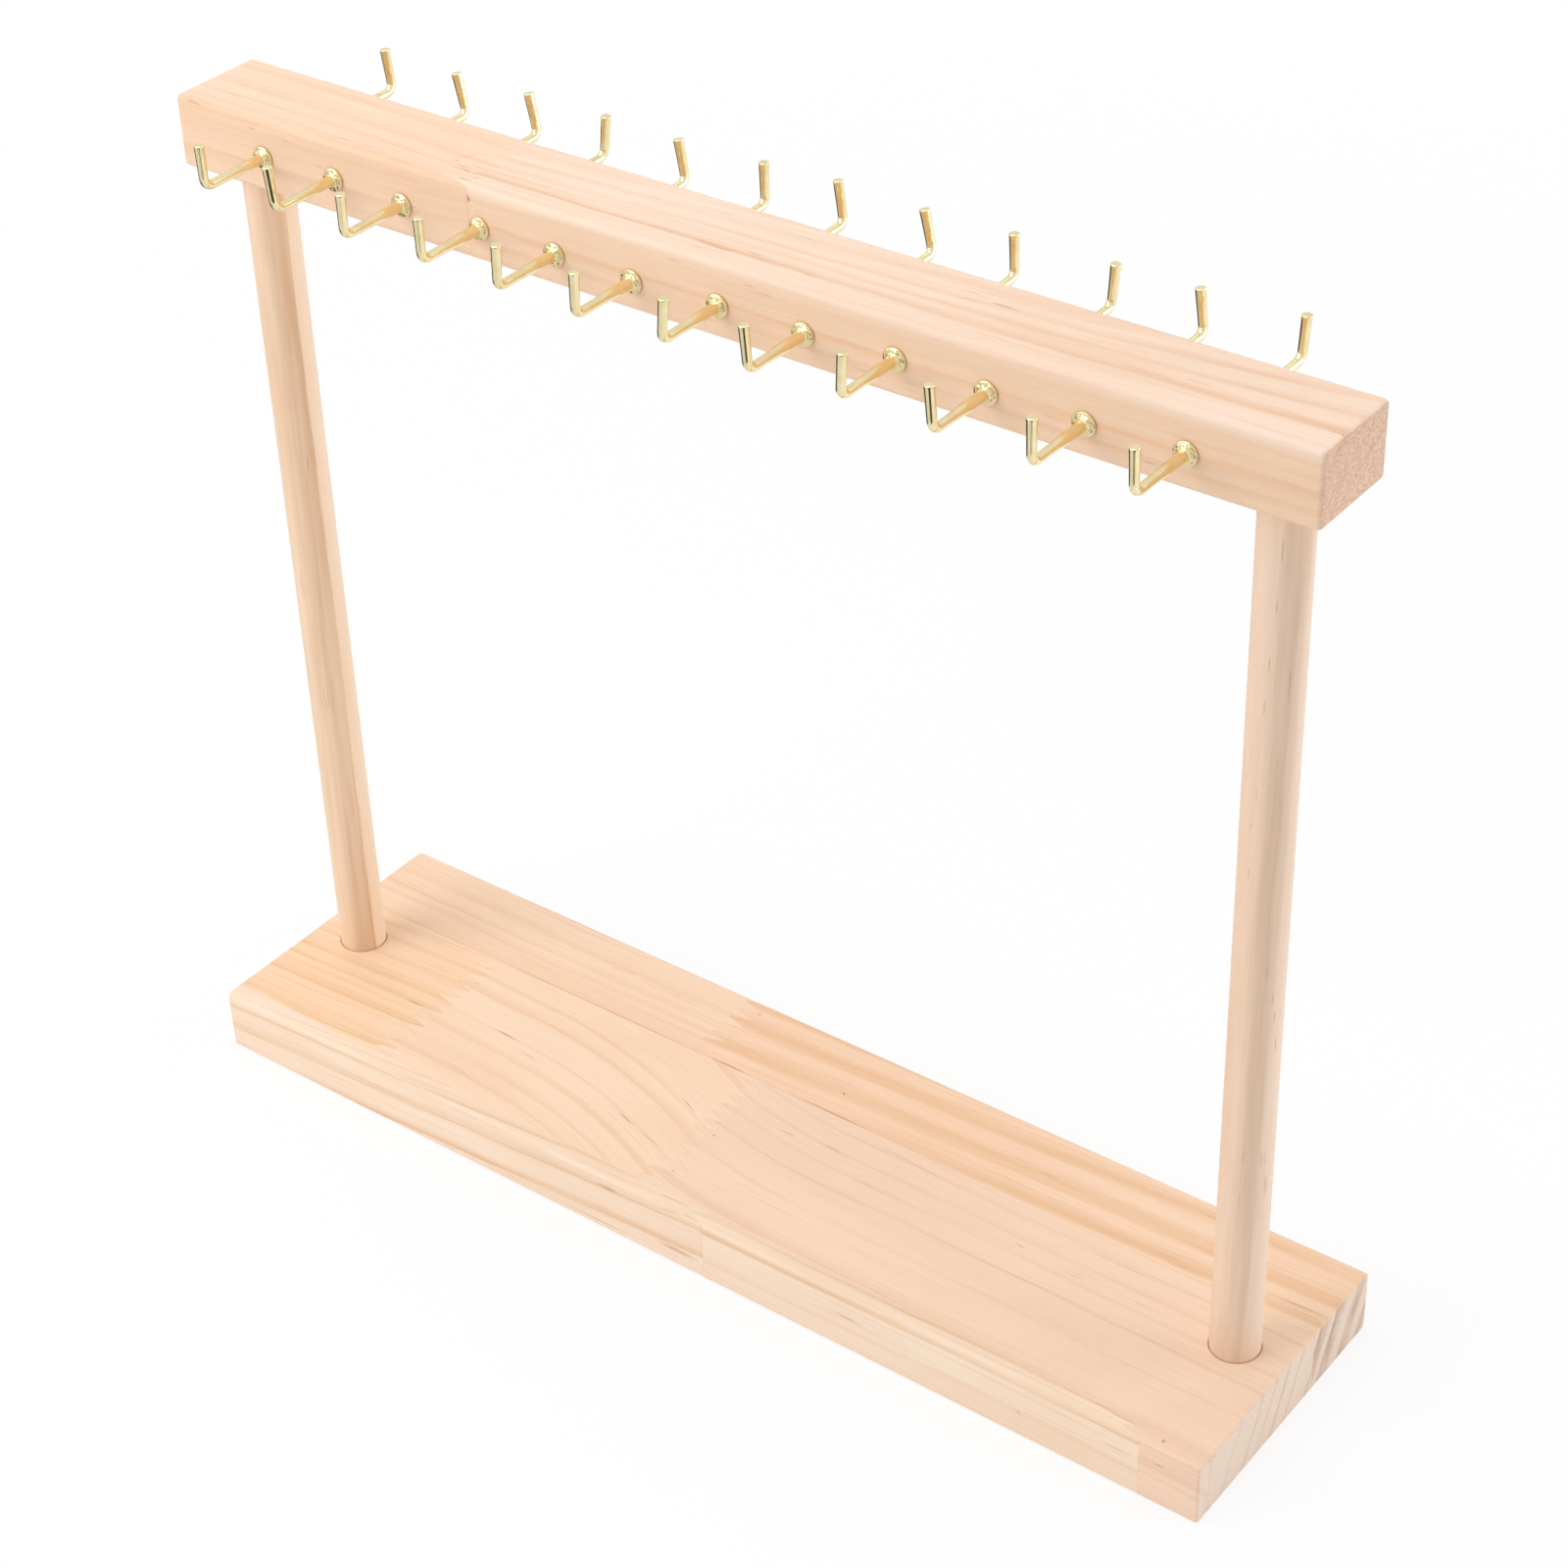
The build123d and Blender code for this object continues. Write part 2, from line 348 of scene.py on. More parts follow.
card_material, tree, shader = new_material("dark_card")
feed(tree, shader, {"Base Color": CARD_COLOUR, "Roughness": CARD_ROUGHNESS})
for card_name, corners in CARDS.items():
    low, high = Vector(corners["low"]), Vector(corners["high"])
    clear_selection()
    bpy.ops.mesh.primitive_plane_add(size=1.0, location=(*(low + high) / 2, CARD_LIFT))
    card = bpy.context.active_object
    card.scale = (*(high - low), 1.0)
    set_in_place(card, card_name)
    card.data.materials.append(card_material)
    card.visible_camera = False
    card.visible_diffuse = False
    card.visible_shadow = False
print("cards:", ", ".join(CARDS))

# %% [markdown]
# ## Growth rings
# Wood is a solid pattern: growth rings run through the block, and each face shows a cut through them. So
# the material works in grain coordinates: millimetres along the grain, across the board and down through
# it. A ring coordinate says how far out in the tree a point grew. It leans through the thickness, drifts
# and bows along the block, and wobbles a little. Late wood darkens slowly towards the edge of its ring and
# then stops sharply. A ramp over the ring coordinate holds one such slope for each ring that shows.

# %% Rings
RING_EDGE = 0.7
RING_SLOPE = 0.4
RAMP_MARGIN = 1
WOBBLE = 2.5
WOBBLE_BLOTCH = (75, 30, 30)
RIPPLE = 0.8
RIPPLE_BLOTCH = (22, 7, 7)
NOISE_MEAN = 0.5


# On the posts, the slow darkening of the wide first ring is painted shade of the round post.
def ring_and_post_shade_ramp(tree, ring, rings, crisp, slope):
    """How dark the late wood is, and on the posts the painted shade of the wide first ring, from rings given
    as edge, width and strength, by ring coordinate.
    """
    low = min(edge - width for edge, width, _ in rings) - RAMP_MARGIN
    high = max(edge for edge, _, _ in rings) + RAMP_MARGIN + crisp
    ramp = add_node(tree, "ShaderNodeValToRGB", {0: remap(tree, ring, low, high)})
    stops = ramp.color_ramp.elements
    stops[1].color = stops[0].color = (0, 0, 0, 1)
    end = low
    for edge, width, strength in sorted(rings):
        start = max(edge - width, end + TINY)
        middle = (start + edge) / 2
        end = edge + crisp
        for place, level in ((start, 0), (middle, slope * strength), (edge, strength), (end, 0)):
            stop = stops.new((place - low) / (high - low))
            stop.color = (level, level, level, 1)
    return ramp.outputs[0]


def ring_coordinate(tree, grain, facts, seed):
    """How far out in the tree each point grew, in millimetres, and the grain space that this bends."""
    along, across, depth = add_node(tree, "ShaderNodeSeparateXYZ", {0: grain}).outputs
    ring = calc(tree, "MULTIPLY_ADD", depth, facts["lean"], across)
    from_pivot = calc(tree, "SUBTRACT", along, facts.get("pivot", 0.0))
    ring = calc(tree, "MULTIPLY_ADD", from_pivot, facts.get("drift", 0.0), ring)
    if "fan" in facts:
        rate, hub = facts["fan"]
        spread = calc(tree, "MAXIMUM", calc(tree, "SUBTRACT", hub, across), 0.0)
        ring = calc(tree, "MULTIPLY_ADD", calc(tree, "MULTIPLY", from_pivot, spread), rate, ring)
    if "bow" in facts:
        rate, start, side = facts["bow"]
        past = calc(tree, "MULTIPLY", calc(tree, "SUBTRACT", along, start), side)
        past = calc(tree, "POWER", calc(tree, "MAXIMUM", past, 0.0), 2.0)
        ring = calc(tree, "MULTIPLY_ADD", past, rate, ring)
    for blotch, swing in ((WOBBLE_BLOTCH, facts.get("wobble", WOBBLE)), (RIPPLE_BLOTCH, RIPPLE)):
        noise = calc(tree, "SUBTRACT", grain_noise(tree, grain, blotch, seed, detail=1.0), NOISE_MEAN)
        ring = calc(tree, "MULTIPLY_ADD", noise, swing, ring)
    ring_space = add_node(tree, "ShaderNodeCombineXYZ", {0: along, 1: ring, 2: depth}).outputs[0]
    return ring, ring_space


print("a ring ends within", RING_EDGE, "mm")

# %% [markdown]
# ## Fibres, dashes and marks
# Fibres and short resin dashes are noise, stretched along the grain. Streaks, pits and glue smears that
# stand alone are spindles with a place of their own, which the fibres fray. Late wood, fibres and dashes are
# the layers of the wood, and colour, shine and relief all read them. A blotch is given in millimetres
# along, across and through the grain. A range names the values of the noise between which a layer comes
# in and, if it has four numbers, the two levels that it goes between.

# %% Layers of the wood
FINE_DETAIL = 3.0
FIBRE_BLOTCH = (20, 0.35, 0.35)
FADING_BLOTCH = (70, 3, 8)
FADING = (0.35, 0.65, 0.45, 1.15)
SPINDLE_CORE = 0.35
FRAYING = (0.38, 0.55, 0.45, 1.0)
PATCH_BLOTCH = (40, 7, 7)
PATCH_RANGE = (0.64, 0.72)
PATCH_ON_LATE = 0.15
DASH_BLOTCH = (10, 0.35, 0.35)
DASH_RANGE = (0.68, 0.76)
DASH_STRENGTH = 0.4


def mark_share(tree, wood, marks):
    """Where the small marks are: spindles along the grain, frayed by the fibres."""
    share = 0.0
    for place, length, width, turn, strength in marks:
        inputs = {"Vector": wood["grain"], "Location": place, "Rotation": (0, 0, math.radians(turn)),
                  "Scale": (length / 2, width / 2, width / 2)}
        local = add_node(tree, "ShaderNodeMapping", inputs, vector_type="TEXTURE").outputs[0]
        distance = add_node(tree, "ShaderNodeVectorMath", {0: local}, operation="LENGTH").outputs["Value"]
        share = calc(tree, "MAXIMUM", remap(tree, distance, SPINDLE_CORE, 1.0, strength, 0.0), share)
    return calc(tree, "MULTIPLY", share, remap(tree, wood["fibres"], *FRAYING))


def resin_dashes(tree, wood, facts, seed):
    """Short brown dashes: loose patches of them, mostly on late wood, and the marks of this block."""
    patches = grain_noise(tree, wood["grain"], PATCH_BLOTCH, seed + 4)
    patches = calc(tree, "MULTIPLY_ADD", wood["late"], PATCH_ON_LATE, patches)
    dashes = grain_noise(tree, wood["ring_space"], DASH_BLOTCH, seed + 5, detail=0.0)
    dashes = calc(tree, "MULTIPLY", remap(tree, dashes, *DASH_RANGE), remap(tree, patches, *PATCH_RANGE))
    dashes = calc(tree, "MULTIPLY", dashes, DASH_STRENGTH)
    if "marks" in facts:
        dashes = calc(tree, "MAXIMUM", dashes, mark_share(tree, wood, facts["marks"]))
    return dashes


def wood_layers(tree, grain, facts, seed):
    """The coordinates of a block, and its late wood, fibres and dashes."""
    ring, ring_space = ring_coordinate(tree, grain, facts, seed)
    crisp, slope = facts.get("crisp", RING_EDGE), facts.get("slope", RING_SLOPE)
    # On the posts this late-wood layer also holds painted shade across the camera's view.
    late = ring_and_post_shade_ramp(tree, ring, facts["rings"], crisp, slope)
    fading = remap(tree, grain_noise(tree, ring_space, FADING_BLOTCH, seed + 7), *FADING)
    wood = {"grain": grain, "ring_space": ring_space, "late": calc(tree, "MULTIPLY", late, fading)}
    wood["fibres"] = grain_noise(tree, ring_space, FIBRE_BLOTCH, seed + 2, FINE_DETAIL)
    wood["dashes"] = resin_dashes(tree, wood, facts, seed)
    return wood


print("fibres are", FIBRE_BLOTCH[1], "mm thick")

# %% [markdown]
# ## Long grain and end grain
# A face along the grain mixes early and late wood, with a blush of pink, soft streaks and dark dashes. A
# face that looks along the grain is end grain, greyer and full of pores. Both are built from the same layers,
# so a ring that reaches the end of a board runs on down its end face.

# %% Colours of the two grains
RESIN = screen_colour(176, 118, 76)
GLUE = screen_colour(255, 240, 222)
BLUSH_BLOTCH = (80, 26, 26)
BLUSH_RANGE = (0.35, 0.65)
SHALLOW_BLUSH = 0.4
STREAK_BLOTCH = (65, 1.0, 5)
STREAK_RANGE = (0.48, 0.72)
STREAK_SHARE = 0.45
FIBRE_SHADE = (0.3, 0.7, 0.965, 1.03)
PORE_BLOTCH = (0.7, 0.6, 0.6)
PORE_RANGE = (0.3, 0.7)
PORE_DEPTH = 0.06


def face_colour(tree, wood, facts, seed):
    """The colour of a face along the grain."""
    blush = remap(tree, grain_noise(tree, wood["grain"], BLUSH_BLOTCH, seed + 3), *BLUSH_RANGE)
    if "deep" in facts:
        depth = add_node(tree, "ShaderNodeSeparateXYZ", {0: wood["grain"]}).outputs[2]
        blush = calc(tree, "MULTIPLY", blush, SHALLOW_BLUSH)
        blush = calc(tree, "MAXIMUM", blush, remap(tree, depth, *facts["deep"]))
    streaks = grain_noise(tree, wood["ring_space"], STREAK_BLOTCH, seed + 1, FINE_DETAIL)
    streaks = calc(tree, "MULTIPLY", remap(tree, streaks, *STREAK_RANGE), facts.get("streaks", STREAK_SHARE))
    colour = mix_colour(tree, blush, facts["early"], facts["blush"])
    colour = mix_colour(tree, streaks, colour, facts["late"])
    colour = mix_colour(tree, wood["late"], colour, facts["late"])
    shade = remap(tree, wood["fibres"], *FIBRE_SHADE)
    colour = mix_colour(tree, 1.0, colour, shade, blend="MULTIPLY")
    colour = mix_colour(tree, wood["dashes"], colour, RESIN)
    if "glue" in facts:
        colour = mix_colour(tree, mark_share(tree, wood, facts["glue"]), colour, GLUE)
    return colour


def end_colour(tree, wood, pores, facts):
    """The colour of end grain."""
    colour = mix_colour(tree, wood["late"], facts["end_early"], facts["end_late"])
    depth = facts.get("pore_depth", PORE_DEPTH)
    shade = remap(tree, pores, *PORE_RANGE, 1 - depth, 1 + depth)
    return mix_colour(tree, 1.0, colour, shade, blend="MULTIPLY")


print("long grain is shaded from", FIBRE_SHADE[2], "to", FIBRE_SHADE[3])

# %% [markdown]
# ## The pine recipe
# The recipe works out the colours of both grains and lets the direction of the surface choose. Fibres vary
# the roughness, and end grain is rougher. A Bump node adds relief that is too fine for the mesh.

# %% The pine recipe
END_FACING = (0.75, 0.95)
WOOD_ROUGHNESS = (0.3, 0.7, 0.46, 0.6)
END_ROUGHNESS = 0.2
WOOD_SHINE = 0.3
LATE_RISE = 0.4
DASH_SINK = 0.6
PORE_RISE = 3.0
RELIEF_STRENGTH = 0.5
RELIEF_DEPTH = 0.05


def relief(tree, height, strength, depth):
    """Relief of so many millimetres, for the light only."""
    inputs = {"Strength": strength, "Distance": depth * MM, "Height": height}
    return add_node(tree, "ShaderNodeBump", inputs).outputs[0]


def pine(name, corner, along, across, facts, seed):
    """Pine for one block, with its grain axes, its rings and its own tones."""
    material, tree, shader = new_material(name)
    axes = Matrix((along, across, Vector(along).cross(Vector(across))))
    coordinates = add_node(tree, "ShaderNodeTexCoord").outputs
    inputs = {"Vector": coordinates["Object"], "Location": -(axes @ Vector(corner)) / MM,
              "Rotation": axes.to_euler(), "Scale": (1 / MM, 1 / MM, 1 / MM)}
    grain = add_node(tree, "ShaderNodeMapping", inputs).outputs[0]
    wood = wood_layers(tree, grain, facts, seed)
    pores = grain_noise(tree, grain, facts.get("pore", PORE_BLOTCH), seed + 6, FINE_DETAIL)
    inputs = {0: coordinates["Normal"], 1: along}
    facing = add_node(tree, "ShaderNodeVectorMath", inputs, operation="DOT_PRODUCT").outputs["Value"]
    end_share = remap(tree, calc(tree, "ABSOLUTE", facing), *END_FACING)
    colours = face_colour(tree, wood, facts, seed), end_colour(tree, wood, pores, facts)
    roughness = remap(tree, wood["fibres"], *WOOD_ROUGHNESS)
    height = calc(tree, "MULTIPLY_ADD", wood["late"], LATE_RISE, wood["fibres"])
    height = calc(tree, "MULTIPLY_ADD", wood["dashes"], -DASH_SINK, height)
    height = calc(tree, "MULTIPLY_ADD", calc(tree, "MULTIPLY", pores, end_share), PORE_RISE, height)
    feed(tree, shader, {
        "Base Color": mix_colour(tree, end_share, *colours),
        "Roughness": calc(tree, "MULTIPLY_ADD", end_share, END_ROUGHNESS, roughness),
        "Specular IOR Level": facts.get("shine", WOOD_SHINE),
        "Normal": relief(tree, height, RELIEF_STRENGTH, RELIEF_DEPTH),
    })
    return material


print("pine recipe ready, with relief up to", RELIEF_DEPTH, "mm")

# %% [markdown]
# ## Tones of pine
# A glued-up board is made of offcuts, so every block has its own tree. The tones differ: creamy in one
# block, pink in the next. Each tone has a colour for early wood, for its blush and for late wood, and two
# for end grain. Crisp says how many millimetres a ring takes to end, and slope how dark it is half way.
# Deep gives the depths, in millimetres below the top, between which the blush takes over.

# %% Tones


def tones(early, blush, late):
    """The three colours of a face along the grain."""
    return {"early": screen_colour(*early), "blush": screen_colour(*blush), "late": screen_colour(*late)}


PEACH = {**tones((250, 220, 192), (248, 214, 184), (235, 190, 148)),
         "end_early": screen_colour(239, 217, 198), "end_late": screen_colour(190, 158, 134)}
PINK = {**PEACH, **tones((248, 218, 191), (245, 212, 185), (231, 187, 156))}
CREAM = {**PEACH, **tones((250, 218, 185), (248, 211, 175), (236, 187, 136))}
TAN = {**PEACH, **tones((251, 217, 186), (248, 210, 177), (236, 190, 146)), "crisp": 1.6, "slope": 0.75}
PALE = {**PEACH, **tones((252, 225, 203), (242, 208, 177), (232, 186, 146)), "deep": (0.6, 3.5),
        "streaks": 0.3, "pore": (1.0, 1.3, 0.5), "pore_depth": 0.2,
        "end_early": screen_colour(228, 192, 166), "end_late": screen_colour(213, 174, 148)}
SANDY = {**PEACH, **tones((250, 228, 204), (247, 220, 194), (229, 185, 141)), "streaks": 0.3}
print("early wood of the palest tone", [round(level, 2) for level in PALE["early"][:3]])

# %% [markdown]
# ## The grain of the base
# These facts were read from the photograph: where each dark ring edge crosses the top face, counted from the
# rear edge in millimetres, how wide its slope is, how strong, and how the rings lean, drift, bow or fan out.
# Marks are the few streaks, pits and glue smears that one remembers. Each has a place along, across and
# below the top, a length, a width, a turn in degrees and a strength.

# %% Grain of the base
BASE_GRAIN = {
    "base_rear_left": {
        **PEACH, "lean": -0.5, "wobble": 1.5,
        "rings": ((-2, 7, 0.6), (11.5, 7, 0.35), (17.4, 3, 0.5), (21.5, 2, 0.35), (31, 7, 0.6)),
        "marks": (((98, 29.9, 0), 90, 0.9, 0, 0.5), ((93, 12, 0), 7, 0.4, 0, 0.4)),
    },
    "base_rear_right": {
        **TAN, "lean": -0.5, "drift": 0.033, "pivot": 146, "wobble": 1.5,
        "rings": ((-8, 5, 0.8), (2.2, 3.5, 0.75), (12, 5, 0.85), (23.6, 6.5, 0.85), (32.5, 6, 0.75)),
        "marks": (((150, 29.9, 0), 16, 1.0, 0, 0.9), ((188, 29.9, 0), 34, 0.9, 0, 0.6),
                  ((186, 20.7, 0), 1.8, 0.9, 50, 0.8), ((142.8, 5, 0), 1.5, 0.8, 50, 0.7),
                  ((341, 22.5, 0), 20, 0.8, -2, 0.6), ((344, 24.5, 0), 12, 0.5, -2, 0.5)),
    },
    "base_middle_left": {
        **CREAM, "lean": -0.5, "drift": 0.048, "pivot": 60, "wobble": 1.0,
        "rings": ((26, 3, 0.4), (39, 2.5, 0.5), (46.8, 3, 0.55), (54.8, 4.5, 0.8), (60.2, 2.5, 0.75),
                  (69.2, 5, 0.75), (82.8, 8, 0.7)),
        "marks": (((51.5, 61, 0), 8, 1.0, -3, 0.5), ((24, 34, 0), 38, 0.4, -4, 0.35)),
        "glue": (((11, 84.6, 0), 26, 0.6, 0, 0.9), ((30, 31.2, 0), 44, 0.5, 0, 0.6)),
    },
    "base_middle_centre": {
        **PEACH, "lean": -0.5, "drift": -0.03, "pivot": 80, "bow": (-0.0031, 92, 1), "wobble": 1.5,
        "streaks": 0.2,
        "rings": ((20, 5, 0.5), (39.2, 1.5, 0.5), (45.8, 4.5, 0.65), (57, 1.2, 0.4), (65, 3, 0.6),
                  (73, 2, 0.4), (79, 3, 0.5)),
        "marks": (((85.5, 56.8, 0), 11, 0.8, 3, 0.85), ((97, 60.5, 0), 10, 0.5, 6, 0.4),
                  ((151, 51, 0), 10, 0.6, 22, 0.55), ((139.5, 66.3, 0), 10, 0.7, 18, 0.8),
                  ((151, 69.5, 0), 15, 0.5, 15, 0.4), ((84, 77.5, 0), 14, 0.5, 8, 0.3)),
        "glue": (((58, 82.3, 0), 4, 1.2, 0, 0.9), ((63.5, 82.3, 0), 5, 1.0, 0, 0.9)),
    },
    "base_middle_right": {
        **PINK, "lean": -0.5, "bow": (0.0026, 205, -1), "wobble": 1.5, "streaks": 0.2,
        "rings": ((24, 1.5, 0.6), (35.3, 1.0, 0.45), (43, 1.6, 0.55), (50, 1.4, 0.4), (57.2, 1.1, 0.55),
                  (68.3, 1.4, 0.35), (84.5, 4, 0.6)),
        "marks": (((183, 44.4, 0), 7, 0.5, 0, 0.5), ((198, 42.6, 0), 8, 0.6, 2, 0.5),
                  ((206, 57.3, 0), 60, 0.4, 0, 0.25), ((271, 56.9, 0), 80, 0.4, -1, 0.3),
                  ((217, 34.3, 0), 34, 0.5, 4, 0.4), ((294, 36.6, 0), 46, 0.5, 0, 0.35),
                  ((200, 72.5, 0), 40, 0.4, 0, 0.35), ((265, 45.9, 0), 4, 0.7, 0, 0.5),
                  ((165.6, 57.6, 0), 1.2, 0.9, 0, 0.8), ((165.4, 76.7, 0), 1.2, 0.9, 0, 0.6)),
    },
    "base_front_left": {
        **SANDY, "lean": 1.29, "drift": 0.077, "wobble": 1.5,
        "rings": ((96.6, 2.5, 0.85), (107.5, 5.5, 0.8), (120.6, 4.5, 0.85)),
        "marks": (((152, 90.5, 3.4), 9, 1.4, 0, 0.55), ((177, 90.5, 14.5), 18, 2.2, 0, 0.5),
                  ((174, 86.3, 0), 13, 0.7, -2, 0.5), ((145, 90.5, 18), 34, 0.6, 0, 0.4)),
    },
    "base_front_centre": {
        **SANDY, "lean": 1.0, "drift": 0.01, "pivot": 184, "wobble": 1.5,
        "rings": ((87, 3, 0.75), (93.4, 3, 0.85), (104, 2, 0.3)),
        "marks": (((237, 90.5, 8), 12, 1.2, 0, 0.5), ((325, 86, 0), 16, 0.8, 0, 0.55),
                  ((325, 90.5, 7), 12, 0.9, 0, 0.35), ((294, 90.5, 11.5), 2, 0.9, 0, 0.5)),
    },
    "base_front_right": {
        **PINK, "lean": 0.8,
        "rings": ((86.5, 2, 0.5), (97, 3, 0.25)),
        "marks": (((337, 87, 0), 1.6, 1.2, 60, 0.9), ((338, 90.5, 5.5), 4, 0.7, 0, 0.6)),
    },
}
print("rings in the base:", {node: len(facts["rings"]) for node, facts in BASE_GRAIN.items()})

# %% [markdown]
# ## The grain of the bar
# The bar's facts are given as the base's are. The marks at its joint cross the seam, so both blocks have
# them.

# %% Grain of the bar
BAR_JOINT_MARKS = (
    ((91.6, 19.8, 0), 2.4, 0.7, 0, 0.6), ((90.8, 18.1, 0), 2.2, 0.6, 0, 0.45),
    ((91.2, 16.6, 0), 5, 0.5, 0, 0.4), ((98, 23.3, 0), 3, 0.7, 0, 0.55), ((95, 21.4, 0), 5, 0.5, 0, 0.4),
    ((100.6, 27.1, 0), 4.5, 0.7, 0, 0.55), ((102.8, 24.8, 0), 3, 0.5, 0, 0.45),
)
BAR_JOINT_GLUE = (((99.6, 22.4, 0), 4, 0.7, 0, 0.7), ((101.4, 28.4, 0), 5, 0.8, 0, 0.7),
                  ((90.3, 15.2, 0), 4, 0.6, 0, 0.6))
BAR_GRAIN = {
    "bar_left": {
        **PALE, "lean": -0.67, "drift": -0.02, "pivot": 30, "wobble": 1.5,
        "early": screen_colour(252, 220, 193),
        "rings": ((-6, 5, 0.5), (6, 6, 0.35), (15.4, 4, 0.6), (21, 2.2, 0.45), (31, 9, 0.65)),
        "glue": BAR_JOINT_GLUE,
        "marks": (*BAR_JOINT_MARKS,
                  ((13.5, 21, 0), 5, 0.5, 0, 0.5), ((58, 26, 0), 6, 0.5, 0, 0.45),
                  ((66, 25.6, 0), 4, 0.4, 0, 0.4), ((28, 29.7, 3), 3.5, 0.6, 0, 0.5),
                  ((40, 29.7, 3.5), 4, 0.4, 0, 0.45), ((51, 29.7, 8), 5, 0.4, 0, 0.4)),
    },
    "bar_right": {
        **PALE, "lean": -0.67, "drift": 0.002, "pivot": 100, "fan": (0.0025, 24), "wobble": 1.2,
        "rings": ((-5, 4, 0.5), (7, 5, 0.3), (12.5, 2.5, 0.3), (16.6, 1.5, 0.4), (19.8, 1.3, 0.45),
                  (23, 2.6, 0.75)),
        "glue": BAR_JOINT_GLUE,
        "marks": (*BAR_JOINT_MARKS,
                  ((103.6, 29.7, 3.6), 1.8, 2.4, 0, 1.0), ((170, 29.7, 2.8), 6, 0.4, 0, 0.4),
                  ((193, 29.7, 3.4), 5, 0.4, 0, 0.45), ((198, 29.7, 4.4), 6, 0.4, 0, 0.45),
                  ((226, 29.7, 16.5), 8, 0.5, 0, 0.45), ((306, 29.7, 16.5), 5, 0.6, 0, 0.5),
                  ((240, 29.7, 16), 7, 0.5, 0, 0.45), ((174, 25.3, 0), 5, 0.4, 0, 0.4),
                  ((311, 17.4, 0), 10, 0.5, -1, 0.4), ((300, 19.5, 0), 26, 0.4, -1, 0.35)),
    },
}
print("marks at the bar's joint:", len(BAR_JOINT_MARKS))

# %% [markdown]
# ## The grain and painted shade of the posts
# A post's rings are counted across the view that the camera has of it. Each post's first ring is wide: its
# slow darkening across that view is painted shade of the round post, its sharp edge is a real ring edge,
# and the wood past that edge is left pale as painted light on the post's right side. The right post has a
# line of short dashes, each given by its height, its place across the view and its length.

# %% Grain and painted shade of the posts
POST_RADIUS = (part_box("post_right")[1].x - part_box("post_right")[0].x) / 2 / MM
POST_DASH_WIDTH = 0.5
POST_DASH_STRENGTH = 0.75
POST_DASHES = ((266, -1.8, 9), (251, -2.3, 6), (235, -3.2, 6), (223, -3.7, 7), (198, -4.3, 6), (188, -5.1, 4),
               (174, -4.9, 6), (145, 0.9, 6), (136, 2.8, 6), (130, 3.7, 7), (121, 4.5, 7), (73, 4.4, 9))


def dash_on_post(height, across, length):
    """A short brown dash on the side of a post that the camera sees."""
    depth = -math.sqrt(POST_RADIUS ** 2 - across ** 2)
    return (height, across, depth), length, POST_DASH_WIDTH, 0, POST_DASH_STRENGTH


# The wide first ring of each post is painted shade: it darkens across the camera's view up to its sharp edge,
# which is a real ring edge, and leaves the wood past it pale as painted light.
POST_GRAIN_AND_SHADE = {
    "post_left": {
        **TAN, **tones((251, 224, 196), (249, 219, 189), (214, 168, 122)),
        "lean": 0.1, "wobble": 0.8, "shine": 0.5, "crisp": 0.5, "slope": 0.55, "streaks": 0.05,
        "rings": ((3.5, 18, 0.65), (13, 4, 0.4)),
    },
    "post_right": {
        **TAN, **tones((245, 219, 196), (242, 213, 187), (208, 168, 130)),
        "lean": 0.1, "drift": -0.018, "pivot": 60, "wobble": 0.5, "shine": 0.5, "crisp": 1.2,
        "slope": 0.7, "streaks": 0.05,
        "rings": ((0.3, 18, 0.45), (12, 4, 0.3)),
        "marks": tuple(dash_on_post(*dash) for dash in POST_DASHES),
    },
}
print("posts of radius", round(POST_RADIUS, 2), "mm, and dashes on the right one:", len(POST_DASHES))

# %% [markdown]
# ## The boards
# The base and the bar are each one board in the shop: glued up, planed, and rounded along the edges. So
# each is modelled whole first, from a cube that is scaled to the board's size. Its long edges get a
# bevel of several steps, and the ends a smaller one.

# %% Whole boards
BASE_EDGE_RADIUS = 1.2
BASE_END_ROUND = 0.7
BAR_EDGE_RADIUS = 1.4
BAR_END_ROUND = 1.0
EDGE_STEPS = 7
END_STEPS = 3


def shared_box(nodes):
    """The lowest and highest corners of several CAD nodes."""
    boxes = [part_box(node) for node in nodes]
    low = Vector([min(box[0][axis] for box in boxes) for axis in range(3)])
    high = Vector([max(box[1][axis] for box in boxes) for axis in range(3)])
    return low, high


def make_board(name, low, high, edge_radius, end_round):
    """A board with rounded long edges and eased ends."""
    clear_selection()
    bpy.ops.mesh.primitive_cube_add(size=1, location=(low + high) / 2)
    board = bpy.context.active_object
    board.scale = high - low
    set_in_place(board, name)
    open_for_edit(board)
    pick(board, "EDGE", lambda edge: abs(edge.verts[0].co.x - edge.verts[1].co.x) > TINY)
    bpy.ops.mesh.bevel(offset=edge_radius * MM, segments=EDGE_STEPS, affect="EDGES")
    for end in (low.x, high.x):
        pick(board, "EDGE", lambda edge: all(abs(vert.co.x - end) < TINY for vert in edge.verts))
        bpy.ops.mesh.bevel(offset=end_round * MM, segments=END_STEPS, affect="EDGES")
    clear_selection()
    return board


base_low, base_high = shared_box(BASE_GRAIN)
bar_low, bar_high = shared_box(BAR_GRAIN)
base_board = make_board("base_board", base_low, base_high, BASE_EDGE_RADIUS, BASE_END_ROUND)
bar_board = make_board("bar_board", bar_low, bar_high, BAR_EDGE_RADIUS, BAR_END_ROUND)
print("boards", [round(size / MM, 1) for size in base_high - base_low],
      [round(size / MM, 1) for size in bar_high - bar_low])

